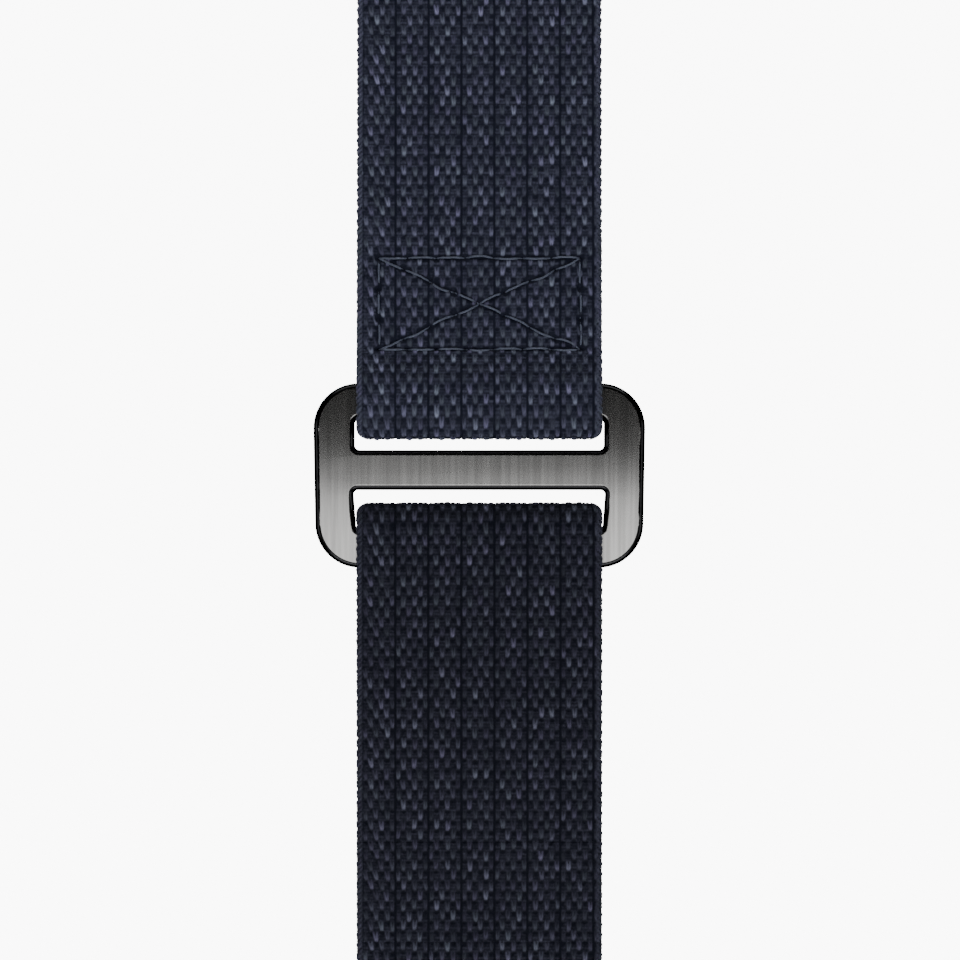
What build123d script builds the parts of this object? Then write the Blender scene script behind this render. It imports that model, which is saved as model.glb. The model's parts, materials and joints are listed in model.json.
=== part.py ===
from build123d import *
import os
from math import atan2, cos, radians, sin, sqrt, tan

# A woven webbing band for a fitness tracker, unfastened from it and lying flat, outer face up.
# The short upper strap is sewn round the upper bar of a two-window ring buckle. The lower strap
# comes up behind, folds over the buckle's lower bar and lies back on itself, held by hook-and-loop.
# A sewn loop at each far end holds a quick-release spring bar for the tracker's lugs.
#
# Millimetres. +X is across the strap, +Y along it towards the upper end, +Z outwards from the wrist.
# The origin is below the buckle's centre, on the surface that the band lies on.
# Webbing is flexible, so each strap is cut into stretches that turn on the inner face's edge.

os.makedirs("parts", exist_ok=True)

# Webbing
strap_width = 22.0
web = 1.5              # thickness of one layer
ply_gap = 0.05         # between two layers that are sewn together
upper_length = 74.5    # buckle's centre to the upper spring bar
lower_length = 74.5    # buckle's centre to the lower spring bar
bend_back = 5.5        # degrees that each stretch's end leans back, so the band can also bend outwards

# Buckle plate, from its top edge down
upper_bar = 3.22
upper_window = 2.77
mid_bar = 3.58
lower_window = 3.55
lower_bar = 3.42
plate_thickness = 1.7
plate_bow = 70.0       # radius of the plate's curve round the wrist
plate_corner = 4.0
plate_round = 0.5      # rounding of the plate's long edges
arm_top = 3.76         # width of a side arm at the top edge
arm_bottom = 3.46      # and at the bottom edge
window_side = 0.17     # room beside the strap in the upper window
lower_window_side = 0.30    # and at the top of the lower window
window_corner = 0.45
lower_window_corner = 0.4
lower_window_slant = 0.27   # how far each side of the lower window leans in

# Folds round the buckle's bars
loop_gap = 0.35        # room above and below a bar, so the bar can turn in the fold
loop_lift = 0.1        # keeps the leaning upper fold off the surface
upper_fold_slack = 0.37     # between the upper bar's edge and the inside of the fold
lower_fold_slack = 0.98
fold_shoulder = 0.5    # how far past a bar the layers run before they close up
fold_close = 2.69      # how far past the upper bar its fold's layers have closed up
first_stretch = 5.5    # from the inner layer's end to the first bend
sew_off = 1.5          # flat length left between an end's slope and the next stretch

# Sewing
thread = 0.27
thread_proud = 0.12    # how far the thread stands out of the face it is sewn through
stitch = 2.5
box_margin = 1.97      # between the crossed box and the webbing's sides
box_clear = 2.93       # between the buckle and the crossed box
box_height = 8.25
box_end = 2.05         # inner layer left beyond the crossed box
end_seam_margin = 2.0

# Hook-and-loop fastening of the tail
patch_margin = 1.5     # between a patch and the webbing's sides
patch_sew = 0.9        # seam's distance from a patch's edge
loop_pile = 0.45
hook_pile = 0.45
tail_first_bend = 17.0
patch_stretch = 22.0   # the stiff length of lower strap under the hook patch
tail_fixed = 7.0       # tail on that stretch that stays down when its end peels back
tail_clear = 1.5       # between the tail's end and the last bend
tail_corner = 3.0
loop_patch_inset = 2.0      # between the first bend and the loop patch
loop_patch_clear = 0.8      # between the loop patch and the last bend
hook_patch_inset = 1.5      # between the tail's hinge and the hook patch
hook_patch_clear = 1.0      # between the hook patch and the tail's end

# Sewn end loops and spring bars
end_stretch = 13.0     # upper end piece, from its last bend to the spring bar
lower_end_stretch = 14.5
end_fold_length = 8.3  # length of the folded-under layer
end_close = 5.0        # where the end loop's layers have closed up, from the spring bar
end_slope = 0.4        # from the folded-under layer's end to where the layer over it slopes down
end_row = 0.27         # between an end seam's rows and the ends of the closed-up layers
tube_radius = 0.9
tube_wall = 0.3
tube_inset = 0.6       # between the tube's ends and the webbing's sides
bar_fit = 0.05         # spring bar in the webbing loop
pin_fit = 0.02         # pins in the tube's bore
tip_radius = 0.4
tip_proud = 1.3        # how far the tips stand out of the webbing's sides
pin_travel = 1.2
fixed_pin_length = 8.4      # inside the tube
release_pin_length = 5.8    # inside the tube
knob_inset = 2.6       # from the tube's end
knob_stem = 0.3
knob_head = 0.6
knob_slot_fit = 0.05
knob_head_height = 0.6
knob_floor = 0.35      # the knob's foot stays this far above the band's inner face
notch_side = 0.3       # room round the knob's head in the webbing
spring_wire = 0.09
spring_pitch = 0.7
spring_seat = 0.1

# Levels of the buckle
plate_height = upper_bar + upper_window + mid_bar + lower_window + lower_bar
plate_top = plate_height / 2
upper_window_top = plate_top - upper_bar
upper_window_bottom = upper_window_top - upper_window
lower_window_top = upper_window_bottom - mid_bar
lower_window_bottom = lower_window_top - lower_window
upper_bar_y = plate_top - upper_bar / 2
lower_bar_y = -plate_top + lower_bar / 2
strap_half = strap_width / 2
window_half = strap_half + window_side
lower_window_half = strap_half + lower_window_side
bar_z = web + loop_gap + plate_thickness / 2 + loop_lift
bow_centre_z = bar_z - sqrt(plate_bow**2 - upper_bar_y**2)

# The crossed box, and the end of the inner layer that it holds
box_bottom = plate_top + box_clear
box_top = box_bottom + box_height
stack_end = box_top + box_end

# The upper fold leans, from the bar down to the surface where its inner layer ends
stack_middle = web + ply_gap / 2
stack_lean = atan2(bar_z - stack_middle, stack_end - upper_bar_y)
ply_middle = (web + ply_gap) / 2
ply_apart = plate_thickness / 2 + loop_gap + web / 2

# Levels of the lower strap's layers
patch_stack = loop_pile + hook_pile
tail_under = web + patch_stack
tail_middle = tail_under + web / 2
tail_top = tail_under + web

# Where the stretches of webbing meet: the upper front layer leans until it touches down
lean_length = (bar_z + ply_middle * cos(stack_lean) - web / 2) / sin(stack_lean)
upper_touch = upper_bar_y + lean_length * cos(stack_lean) + ply_middle * sin(stack_lean)
upper_first_bend = stack_end + first_stretch
upper_last_bend = upper_length - end_stretch
upper_bends = [upper_first_bend, upper_touch, (upper_touch + upper_last_bend) / 2, upper_last_bend]
upper_first_z = (upper_touch - upper_first_bend) * tan(stack_lean) + web / 2 - web / 2 / cos(stack_lean)
lower_last_bend = lower_length - lower_end_stretch
patch_bend = lower_last_bend - patch_stretch
lower_bends = [tail_first_bend, (tail_first_bend + patch_bend) / 2, patch_bend, lower_last_bend]

# Hook-and-loop tapes and the tail's end, measured down the lower strap
patch_width = strap_width - 2 * patch_margin
tail_hinge = patch_bend + tail_fixed
tail_end = lower_last_bend - tail_clear
loop_patch_start = tail_first_bend + loop_patch_inset
loop_patch_end = lower_last_bend - loop_patch_clear
hook_patch_start = tail_hinge + hook_patch_inset
hook_patch_end = tail_end - hook_patch_clear

# Spring bar loops
tube_bore = tube_radius - tube_wall
tube_end = strap_half - tube_inset
tip_reach = strap_half + tip_proud
knob_x = tube_end - knob_inset
end_loop = tube_radius + bar_fit + web / 2
pin_z = end_loop + web / 2


def save(builder, name):
    builder.part.label = name
    export_step(builder.part, f"parts/{name}.step")


def room(low, high):
    """The room of a stretch between two bends, which leans back from each, so both can bend outwards."""
    height = 3 * tail_top
    lean = height * tan(radians(bend_back))
    (low_y, low_z), (high_y, high_z) = low, high
    with BuildPart() as between:
        with BuildSketch(Plane.YZ):
            with BuildLine():
                Polyline(
                    (low_y, -web),
                    low,
                    (low_y + lean, low_z + height),
                    (high_y - lean, high_z + height),
                    high,
                    (high_y, -web),
                    close=True,
                )
            make_face()
        extrude(amount=strap_width, both=True)
    return between.part


def webbing(route, radii, low, high):
    """Webbing whose middle line follows a side-view route, in the room between two bends."""
    between = room(low, high)
    with BuildPart() as piece:
        with BuildSketch(Plane.YZ):
            with BuildLine() as middle_line:
                FilletPolyline(*route, radius=radii)
            trace(middle_line.line, line_width=web)
        extrude(amount=strap_half, both=True)
        add(between, mode=Mode.INTERSECT)
    return piece


def save_layers(folded, closed, name):
    """Folded webbing as three pieces, cut where its layers have closed up: wrap, front and under."""
    with BuildPart() as wrap:
        add(folded.part)
        split(bisect_by=closed, keep=Keep.TOP)
    save(wrap, f"{name}_wrap")
    with BuildPart() as layers:
        add(folded.part)
        split(bisect_by=closed, keep=Keep.BOTTOM)
    for side, solid in zip(("under", "front"), layers.solids().sort_by(Axis.Z)):
        with BuildPart() as layer:
            add(solid)
        save(layer, f"{name}_{side}")


def flat_layer(width, near, far, bottom, thickness, low, high):
    """A flat layer between two places along the band, in the room between two bends."""
    between = room(low, high)
    with BuildPart() as piece:
        with BuildSketch(Plane.XY.offset(bottom)):
            with Locations((0, (near + far) / 2)):
                Rectangle(width, abs(far - near))
        extrude(amount=thickness)
        add(between, mode=Mode.INTERSECT)
    return piece


def seam(plane, runs, bottom, top):
    """Lockstitching: thread along each run on both faces, joined through the cloth at each stitch."""
    holes = []
    for start, end in runs:
        span = Vector(*end) - Vector(*start)
        count = max(1, round(span.length / stitch))
        holes += [Vector(*start) + span * (i / count) for i in range(count + 1)]
    spots = {(round(h.X, 3), round(h.Y, 3)) for h in holes}
    with BuildPart() as piece:
        for level in (bottom, top - thread):
            with BuildSketch(plane.offset(level)):
                for start, end in runs:
                    with BuildLine() as run:
                        Line(start, end)
                    trace(run.line, line_width=thread)
            extrude(amount=thread)
        with BuildSketch(plane.offset(bottom)):
            with Locations(*sorted(spots)):
                Rectangle(thread, thread)
        extrude(amount=top - bottom)
    return piece


def box_runs(half_width, y_low, y_high, crossed=False):
    """The four sides of a sewn box, and its diagonals if it is crossed."""
    a, b = (-half_width, y_low), (half_width, y_low)
    c, d = (half_width, y_high), (-half_width, y_high)
    sides = [(a, b), (b, c), (c, d), (d, a)]
    return sides + [(a, c), (b, d)] if crossed else sides


# Buckle: a bowed plate with a straight upper window and a lower window that narrows downwards
with BuildPart() as buckle_frame:
    with BuildSketch(Plane.XY):
        top_half = window_half + arm_top
        bottom_half = window_half + arm_bottom
        with BuildLine():
            Polyline(
                (-top_half, plate_top),
                (top_half, plate_top),
                (bottom_half, -plate_top),
                (-bottom_half, -plate_top),
                close=True,
            )
        make_face()
        fillet(vertices(), plate_corner)
    extrude(amount=2 * bar_z)
    with BuildSketch(Plane.XY):
        with Locations((0, (upper_window_top + upper_window_bottom) / 2)):
            RectangleRounded(2 * window_half, upper_window, window_corner)
    extrude(amount=2 * bar_z, mode=Mode.SUBTRACT)
    with BuildSketch(Plane.XY):
        narrow_half = lower_window_half - lower_window_slant
        with BuildLine():
            Polyline(
                (-lower_window_half, lower_window_top),
                (lower_window_half, lower_window_top),
                (narrow_half, lower_window_bottom),
                (-narrow_half, lower_window_bottom),
                close=True,
            )
        make_face()
        fillet(vertices(), lower_window_corner)
    extrude(amount=2 * bar_z, mode=Mode.SUBTRACT)
    with BuildSketch(Plane.YZ):
        with Locations((0, bow_centre_z)):
            Circle(plate_bow + plate_thickness / 2)
            Circle(plate_bow - plate_thickness / 2, mode=Mode.SUBTRACT)
    extrude(amount=2 * window_half, both=True, mode=Mode.INTERSECT)
    skins = buckle_frame.faces().filter_by(GeomType.CYLINDER).sort_by(SortBy.AREA)[-2:]
    fillet(skins[0].edges() + skins[1].edges(), plate_round)
save(buckle_frame, "buckle_frame")


def stack_point(along, out):
    """A point of the upper fold, measured along its leaning middle line and out from it."""
    y = upper_bar_y + along * cos(stack_lean) + out * sin(stack_lean)
    return y, bar_z - along * sin(stack_lean) + out * cos(stack_lean)


# Upper strap: the sewn fold round the upper bar, three plain stretches and the end loop
stack_length = (stack_end - upper_bar_y) / cos(stack_lean)
fold_turn = upper_bar / 2 + upper_fold_slack + web / 2
shoulder = upper_bar / 2 + fold_shoulder - web / 2
close_up = upper_bar / 2 + fold_close
upper_fold_route = [
    stack_point(stack_length, -ply_middle),
    stack_point(close_up, -ply_middle),
    stack_point(shoulder, -ply_apart),
    stack_point(-fold_turn, -ply_apart),
    stack_point(-fold_turn, ply_apart),
    stack_point(shoulder, ply_apart),
    stack_point(close_up, ply_middle),
    (upper_touch, web / 2),
    (upper_touch + sew_off, web / 2),
]
turn = ply_apart - ply_gap
upper_fold_radii = [2.0, 2.0, turn, turn, 2.0, 2.0, 3.0]
first_hinge = (upper_first_bend, upper_first_z)
upper_fold = webbing(upper_fold_route, upper_fold_radii, (-plate_top, 0), first_hinge)
fold_closed = Plane(
    origin=(0, *stack_point(close_up, 0)),
    z_dir=(0, -cos(stack_lean), sin(stack_lean)),
)
save_layers(upper_fold, fold_closed, "upper_fold")

stack_plane = Plane(
    origin=(0, upper_bar_y, bar_z),
    x_dir=(1, 0, 0),
    z_dir=(0, sin(stack_lean), cos(stack_lean)),
)
box_low, box_high = ((y - upper_bar_y) / cos(stack_lean) for y in (box_bottom, box_top))
upper_box_stitch = seam(
    stack_plane,
    box_runs(strap_half - box_margin, box_low, box_high, crossed=True),
    -stack_middle,
    stack_middle + thread_proud,
)
save(upper_box_stitch, "upper_box_stitch")

leaning = webbing(upper_fold_route[-3:], upper_fold_radii[-1:], first_hinge, (upper_touch, 0))
save(leaning, "upper_strap_1")
for number, (near, far) in enumerate(zip(upper_bends[1:], upper_bends[2:]), 2):
    save(flat_layer(strap_width, near, far, 0, web, (near, 0), (far, 0)), f"upper_strap_{number}")

# Lower strap: the fold over the lower bar, the plain stretches behind, and the tail in front
front_middle = bar_z + plate_thickness / 2 + loop_gap + web / 2
fold_y = lower_window_bottom + lower_fold_slack + web / 2
lower_turn = (front_middle - web / 2) / 2 - ply_gap
tail_slope = [
    (-plate_top - fold_shoulder, front_middle),
    (-patch_bend, tail_middle),
    (-patch_bend - sew_off, tail_middle),
]
lower_fold_route = [(-patch_bend, web / 2), (fold_y, web / 2), (fold_y, front_middle)] + tail_slope
lower_fold_radii = [lower_turn, lower_turn, 3.0, 3.0]
lower_strap_fold = webbing(
    lower_fold_route, lower_fold_radii, (-tail_first_bend, 0), (plate_top, 0)
)
save(lower_strap_fold, "lower_strap_fold")

for number, (near, far) in enumerate(zip(lower_bends, lower_bends[1:]), 1):
    low, high = (-far, 0), (-near, 0)
    save(flat_layer(strap_width, -near, -far, 0, web, low, high), f"lower_strap_{number}")
    if far > tail_hinge:
        tail = flat_layer(strap_width, -near, -tail_hinge, tail_under, web, low, high)
    else:
        tail = webbing(tail_slope, lower_fold_radii[-1:], low, high)
    save(tail, f"tail_strap_{number}")
    tape_near = max(near, loop_patch_start)
    tape_far = min(far, loop_patch_end)
    tape = flat_layer(patch_width, -tape_near, -tape_far, web, loop_pile, low, high)
    save(tape, f"loop_patch_{number}")
    sewn_half = patch_width / 2 - patch_sew
    sewn_near, sewn_far = -tape_near - patch_sew, -tape_far + patch_sew
    runs = [((x, sewn_near), (x, sewn_far)) for x in (-sewn_half, sewn_half)]
    if near < loop_patch_start:
        runs.append(((-sewn_half, sewn_near), (sewn_half, sewn_near)))
    if far > loop_patch_end:
        runs.append(((-sewn_half, sewn_far), (sewn_half, sewn_far)))
    save(seam(Plane.XY, runs, 0, web + loop_pile), f"loop_patch_stitch_{number}")

with BuildPart() as tail_tip:
    with BuildSketch(Plane.XY.offset(tail_under)):
        with Locations((0, -(tail_hinge + tail_end) / 2)):
            Rectangle(strap_width, tail_end - tail_hinge)
        fillet(vertices().group_by(Axis.Y)[0], tail_corner)
    extrude(amount=web)
save(tail_tip, "tail_tip")

with BuildPart() as hook_patch:
    with BuildSketch(Plane.XY.offset(web + loop_pile)):
        with Locations((0, -(hook_patch_start + hook_patch_end) / 2)):
            Rectangle(patch_width, hook_patch_end - hook_patch_start)
    extrude(amount=hook_pile)
save(hook_patch, "hook_patch")

hook_patch_stitch = seam(
    Plane.XY,
    box_runs(
        patch_width / 2 - patch_sew, -hook_patch_end + patch_sew, -hook_patch_start - patch_sew
    ),
    web + loop_pile,
    tail_top + thread_proud,
)
save(hook_patch_stitch, "hook_patch_stitch")


def strap_end(strap, side, pin_y, bend):
    """The end loop of a strap: webbing round the spring bar, folded under and sewn."""
    fold_end = pin_y - side * end_fold_length
    close = pin_y - side * end_close
    upper_ply = 1.5 * web + ply_gap
    route = [
        (fold_end, web / 2),
        (pin_y + side * end_loop, web / 2),
        (pin_y + side * end_loop, web / 2 + 2 * end_loop),
        (pin_y - side * end_loop / 2, web / 2 + 2 * end_loop),
        (close, upper_ply),
        (fold_end - side * end_slope, upper_ply),
        (bend + side * sew_off / 2, web / 2),
        (bend, web / 2),
    ]
    loop_turn = end_loop - ply_gap / 10
    low, high = sorted([(bend, 0), (pin_y + side * end_fold_length, 0)])
    loop = webbing(route, [loop_turn, loop_turn, 1.0, 1.0, 2.0, 1.0], low, high)
    notch = 2 * (knob_head + notch_side)
    with BuildPart() as piece:
        add(loop.part)
        with BuildSketch(Plane.XY):
            with Locations((knob_x - pin_travel / 2, pin_y)):
                Rectangle(notch + pin_travel, notch)
        extrude(amount=pin_z, mode=Mode.SUBTRACT)
    save_layers(piece, Plane(origin=(0, close, 0), z_dir=(0, side, 0)), f"{strap}_end")


def bar_cylinder(pin_y, x_start, x_end, radius, mode=Mode.ADD):
    """A cylinder on a spring bar's axis."""
    with Locations(Location((x_start, pin_y, pin_z), (0, 90, 0))):
        Cylinder(radius, x_end - x_start, align=(Align.CENTER, Align.CENTER, Align.MIN), mode=mode)


def spring_bar(strap, pin_y):
    """A quick-release spring bar: tube, fixed pin, release pin, its knob and the coil spring."""
    fixed_inner = fixed_pin_length - tube_end
    release_inner = tube_end - release_pin_length
    with BuildPart() as tube:
        bar_cylinder(pin_y, -tube_end, tube_end, tube_radius)
        bar_cylinder(pin_y, -tube_end, tube_end, tube_bore, Mode.SUBTRACT)
        slot_width = 2 * (knob_stem + knob_slot_fit)
        with BuildSketch(Plane.XY):
            with Locations((knob_x - pin_travel / 2, pin_y)):
                SlotCenterToCenter(pin_travel + 2 * knob_slot_fit, slot_width)
        extrude(amount=pin_z, mode=Mode.SUBTRACT)
    save(tube, f"{strap}_bar_tube")

    with BuildPart() as fixed_pin:
        bar_cylinder(pin_y, -strap_half, fixed_inner, tube_bore - pin_fit)
        bar_cylinder(pin_y, -tip_reach, -strap_half, tip_radius)
    save(fixed_pin, f"{strap}_bar_fixed_pin")

    with BuildPart() as release_pin:
        bar_cylinder(pin_y, release_inner, strap_half, tube_bore - pin_fit)
        bar_cylinder(pin_y, strap_half, tip_reach, tip_radius)
    save(release_pin, f"{strap}_bar_release_pin")

    with BuildPart() as knob:
        with BuildSketch(Plane.XY.offset(knob_floor)):
            with Locations((knob_x, pin_y)):
                Circle(knob_head)
        extrude(amount=knob_head_height)
        with BuildSketch(Plane.XY.offset(knob_floor)):
            with Locations((knob_x, pin_y)):
                Circle(knob_stem)
        extrude(amount=pin_z - knob_floor)
    save(knob, f"{strap}_bar_knob")

    with BuildPart() as spring:
        coil_radius = tube_bore - pin_fit - spring_wire
        with BuildLine() as coil:
            Helix(
                pitch=spring_pitch,
                height=release_inner - fixed_inner - 2 * spring_seat,
                radius=coil_radius,
                center=(fixed_inner + spring_seat, pin_y, pin_z),
                direction=(1, 0, 0),
            )
        with BuildSketch(Plane(coil.line @ 0, z_dir=coil.line % 0)):
            Circle(spring_wire)
        sweep(path=coil.line, is_frenet=True)
    save(spring, f"{strap}_bar_spring")


for strap, side, pin_y, bend in (
    ("upper", 1, upper_length, upper_last_bend),
    ("lower", -1, -lower_length, -lower_last_bend),
):
    strap_end(strap, side, pin_y, bend)
    rows = sorted(pin_y - side * d for d in (end_close + end_row, end_fold_length - end_row))
    end_stitch = seam(
        Plane.XY,
        box_runs(strap_half - end_seam_margin, *rows),
        0,
        2 * web + ply_gap + thread_proud,
    )
    save(end_stitch, f"{strap}_end_stitch")
    spring_bar(strap, pin_y)
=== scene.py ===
import json
import math

import bpy
import numpy as np
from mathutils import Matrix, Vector


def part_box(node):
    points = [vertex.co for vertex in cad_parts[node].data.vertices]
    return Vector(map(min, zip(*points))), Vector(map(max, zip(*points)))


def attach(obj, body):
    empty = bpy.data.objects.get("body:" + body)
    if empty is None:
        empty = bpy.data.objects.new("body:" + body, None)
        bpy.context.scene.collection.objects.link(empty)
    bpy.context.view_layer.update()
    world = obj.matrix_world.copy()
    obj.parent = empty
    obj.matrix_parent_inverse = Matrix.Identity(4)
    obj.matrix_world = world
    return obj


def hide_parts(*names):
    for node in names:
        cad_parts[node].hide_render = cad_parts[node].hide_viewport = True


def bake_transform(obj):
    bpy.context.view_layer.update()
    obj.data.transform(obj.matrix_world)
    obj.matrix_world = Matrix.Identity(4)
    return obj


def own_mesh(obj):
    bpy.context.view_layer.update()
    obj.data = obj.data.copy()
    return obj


# A woven fitness band lying flat round its brushed ring buckle, seen from straight above.
# Webbing, tape and thread are meshes with the real weave in them, made along side-view routes.
# Lengths are in millimetres until a mesh is made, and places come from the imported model.

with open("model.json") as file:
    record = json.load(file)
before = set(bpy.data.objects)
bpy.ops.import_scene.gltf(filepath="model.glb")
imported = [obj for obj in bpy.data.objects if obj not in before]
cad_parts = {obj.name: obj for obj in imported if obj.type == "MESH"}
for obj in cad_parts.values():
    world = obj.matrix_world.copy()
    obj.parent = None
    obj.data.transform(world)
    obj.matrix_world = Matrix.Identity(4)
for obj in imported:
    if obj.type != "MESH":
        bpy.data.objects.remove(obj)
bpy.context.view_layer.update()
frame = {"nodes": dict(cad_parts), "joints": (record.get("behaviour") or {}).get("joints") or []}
MM = 0.001


def box_mm(node):
    low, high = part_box(node)
    return np.array(low) / MM, np.array(high) / MM


def pivot(name):
    """Where a hinge's axis crosses the side view."""
    joint = next(j for j in frame["joints"] if j["name"] == name)
    return float(joint["pos_m"][1] / MM), float(joint["pos_m"][2] / MM)


# ---------------------------------------------------------------- sizes
strap_low, strap_high = box_mm("upper_strap_3")
WIDTH = float(strap_high[0] - strap_low[0])
WEB = float(strap_high[2] - strap_low[2])
UPPER_BENDS = [pivot(f"upper_flex_{i}")[0] for i in range(1, 5)]
LOWER_BENDS = [pivot(f"lower_flex_{i}")[0] for i in range(1, 5)]
TAIL_HINGE = pivot("tail_peel")[0]
TAIL_END = float(box_mm("tail_tip")[0][1])
TAIL_MIDDLE = float(box_mm("tail_tip")[1][2]) - WEB / 2
PIN_Y = float(sum(edge[1] for edge in box_mm("upper_bar_tube")) / 2)

PLY_GAP = 0.05          # between two layers that are sewn together
PLY_MIDDLE = (WEB + PLY_GAP) / 2
PLY_APART = 1.95        # from the upper bar's middle to the middle of each layer round it
STACK_END = 21.5        # where the upper fold's inner layer ends
CLOSE_UP = 4.3          # from the upper bar to where its fold's layers have closed up
SHOULDER = 1.36         # from the upper bar to where the layers start to close up
FOLD_TURN = 2.73        # from the upper bar to the fold's middle line
LOWER_FOLD_Y = -3.12    # the lower fold's middle line
FRONT_MIDDLE = 4.75     # height of the lower fold's front layer
SLOPE_START = -8.77     # where the tail starts to slope
END_LOOP = 1.7          # radius of the webbing's middle line round a spring bar
END_CLOSE = 5.0         # from a spring bar to where its loop's layers have closed up
END_FOLD = 8.3          # length of an end loop's folded-under layer
END_SLOPE = 0.4         # the upper layer comes down to the folded one over this length
END_RUN = 24.0          # more route than an end loop takes up
SEW_OFF = 1.5           # round corner at the last bend
LOOP_FIT = 0.005        # an end loop's corners stay this much under its radius

# Weave
END = 0.492             # one warp end across
RIB = 6                 # warp ends in a rib
FIRST_GROOVE = -7.51    # a groove between ribs, across from the middle
PICK = 0.91             # one weft pick along
STRAND = 0.303          # one weft yarn along
RELIEF = 0.24           # depth of the weave
SURFACE = 0.72          # height in the weave that lies on the webbing's nominal face
EDGE = 0.55             # rounding of the selvedge
SELVEDGE = 0.62         # width of the twisted yarns along each side
FINE = (9, 11, 3)       # mesh columns in an end, rows in a pick, and columns in an end on the back
MEDIUM = (5, 7, 3)
HIDDEN = (3, 4, 3)
BEND_ZONE = 3.5         # how far webbing would bend on each side of a hinge; carried in each bend but not used
PEEL_ZONE = 3.0
UPPER_SEED, LOWER_SEED, LOOP_SEED, HOOK_SEED = 1, 2, 4, 5
UPPER_EDGE, LOWER_EDGE = 3.18, -2.37    # where the two folds end at the windows
FOLD_CORNER = (1.6, 1.1)                # how far in a fold's corner is soft, and its radius
TIP_CORNER = (3.0, 2.8)

# Spring bars
WIRE = 0.09             # radius of a coil spring's wire
COIL_PITCH = 0.7

# Sewing
STITCH = 2.5
THREAD_RADIUS = 0.10
BOX_MARGIN = 1.97       # from the strap's sides to the crossed box
BOX_ROWS = (11.2, 19.45)
END_MARGIN = 2.0        # from the strap's sides to an end seam
END_ROW = 0.27          # from an end seam's rows to the ends of the two joined layers
TAPE_MARGIN = 0.9       # from a tape's edges to its seam
HOOK_SEAM_HALF = 8.6

# Where the webbing is cut into pieces, along the band
FRONT_CUT, UPPER_LAST_CUT = 10.2, 65.5
LOWER_CUTS = [-13.0, -22.25, -32.75, -49.0, -65.0]
TAIL_CUT = -41.75

# Tapes
LOOP_EDGE, HOOK_EDGE = 0.2, 0.08    # rounding of each tape's sides
LOOP_RELIEF, HOOK_RELIEF = 0.16, 0.03
HOOK_BASE = 0.2         # thickness of the cloth that the hooks stand on
HOOK_WIRE = 0.045       # radius of a hook's wire
HOOK_STEP = (0.75, 0.70)
HOOK_MARGIN = 0.6


# ---------------------------------------------------------------- side-view routes
def unit(v):
    return v / np.linalg.norm(v)


def rounded(corners, radii):
    """The points of a side-view line whose corners are rounded."""
    corners = [np.array(c, float) for c in corners]
    points = [corners[0]]
    for before, corner, after, radius in zip(corners, corners[1:], corners[2:], radii):
        a, b = unit(before - corner), unit(after - corner)
        half = math.acos(np.clip(a @ b, -1, 1)) / 2
        centre = corner + unit(a + b) * radius / math.sin(half)
        start = corner + a * radius / math.tan(half) - centre
        end = corner + b * radius / math.tan(half) - centre
        sense = np.sign(start[0] * end[1] - start[1] * end[0])
        for step in np.linspace(0, math.pi - 2 * half, 25):
            c, s = math.cos(step), math.sin(step) * sense
            points.append(centre + (start[0] * c - start[1] * s, start[0] * s + start[1] * c))
    points.append(corners[-1])
    return np.array(points)


class Route:
    """A side-view line that webbing follows, measured along its length."""

    def __init__(self, points):
        points = np.array(points, float)
        steps = np.linalg.norm(np.diff(points, axis=0), axis=1)
        self.points = points[np.r_[True, steps > 1e-6]]
        self.along = np.r_[0, np.cumsum(steps[steps > 1e-6])]
        self.length = float(self.along[-1])

    def place(self, s):
        return np.stack([np.interp(s, self.along, self.points[:, k]) for k in (0, 1)], -1)

    def normal(self, s):
        ahead = self.place(np.minimum(s + 0.06, self.length)) - self.place(np.maximum(s - 0.06, 0))
        ahead /= np.linalg.norm(ahead, axis=-1, keepdims=True)
        return np.stack([-ahead[..., 1], ahead[..., 0]], -1)

    def find(self, y, after=0.0):
        """Where the route first passes a place along the band, from a length on."""
        s = np.linspace(after, self.length, 20000)
        side = self.place(s)[:, 0] - y
        return float(s[np.nonzero(side[:-1] * side[1:] <= 0)[0][0]])


bar_y, bar_z = pivot("upper_fold_turn")
lean = math.atan2(bar_z - WEB - PLY_GAP / 2, STACK_END - bar_y)


def stack_point(along, out):
    """A point of the sewn upper fold, from its leaning middle line."""
    y = bar_y + along * math.cos(lean) + out * math.sin(lean)
    return y, bar_z - along * math.sin(lean) + out * math.cos(lean)


def end_corners(side):
    """An end loop round a spring bar, from the last bend to the folded-under layer's end."""
    pin_y = side * PIN_Y
    bend = UPPER_BENDS[3] if side > 0 else LOWER_BENDS[3]
    fold_end = pin_y - side * END_FOLD
    top = WEB / 2 + 2 * END_LOOP
    upper_ply = 1.5 * WEB + PLY_GAP
    return [
        (bend + side * SEW_OFF / 2, WEB / 2),
        (fold_end - side * END_SLOPE, upper_ply),
        (pin_y - side * END_CLOSE, upper_ply),
        (pin_y - side * END_LOOP / 2, top),
        (pin_y + side * END_LOOP, top),
        (pin_y + side * END_LOOP, WEB / 2),
        (fold_end, WEB / 2),
    ]


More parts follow.
